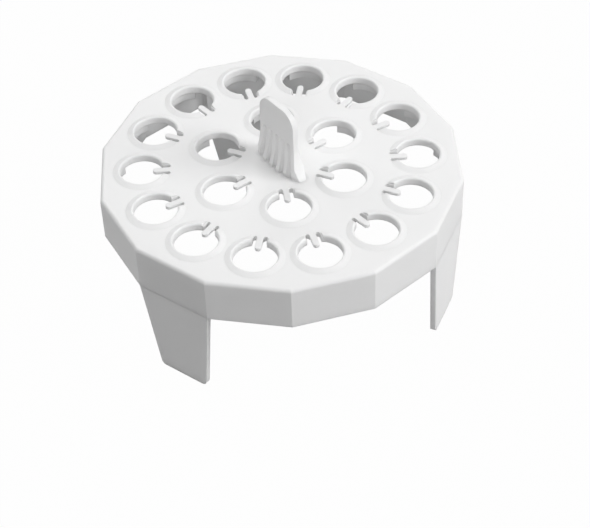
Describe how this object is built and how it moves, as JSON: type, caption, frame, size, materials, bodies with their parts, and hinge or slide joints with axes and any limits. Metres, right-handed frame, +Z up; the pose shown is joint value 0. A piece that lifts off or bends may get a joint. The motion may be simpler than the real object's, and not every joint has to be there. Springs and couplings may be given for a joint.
{
  "type": "microcentrifuge tube rack",
  "caption": "Round white bench rack for microcentrifuge tubes: a many-sided plate with two rings of rimmed holes with spring tongues, a finger grip and flat plug-in legs.",
  "frame": {"origin": "middle of the footprint, level with the feet", "axes": "+Z up, +Y towards the back leg, +X to the right"},
  "size_m": [0.1, 0.0974, 0.06],
  "materials": {
    "body_plastic": "white moulded polypropylene, satin",
    "leg_plastic": "white moulded polypropylene, satin"
  },
  "bodies": {
    "root": {"rack_body": "body_plastic", "back_leg": "leg_plastic", "right_leg": "leg_plastic", "left_leg": "leg_plastic"}
  },
  "joints": []
}
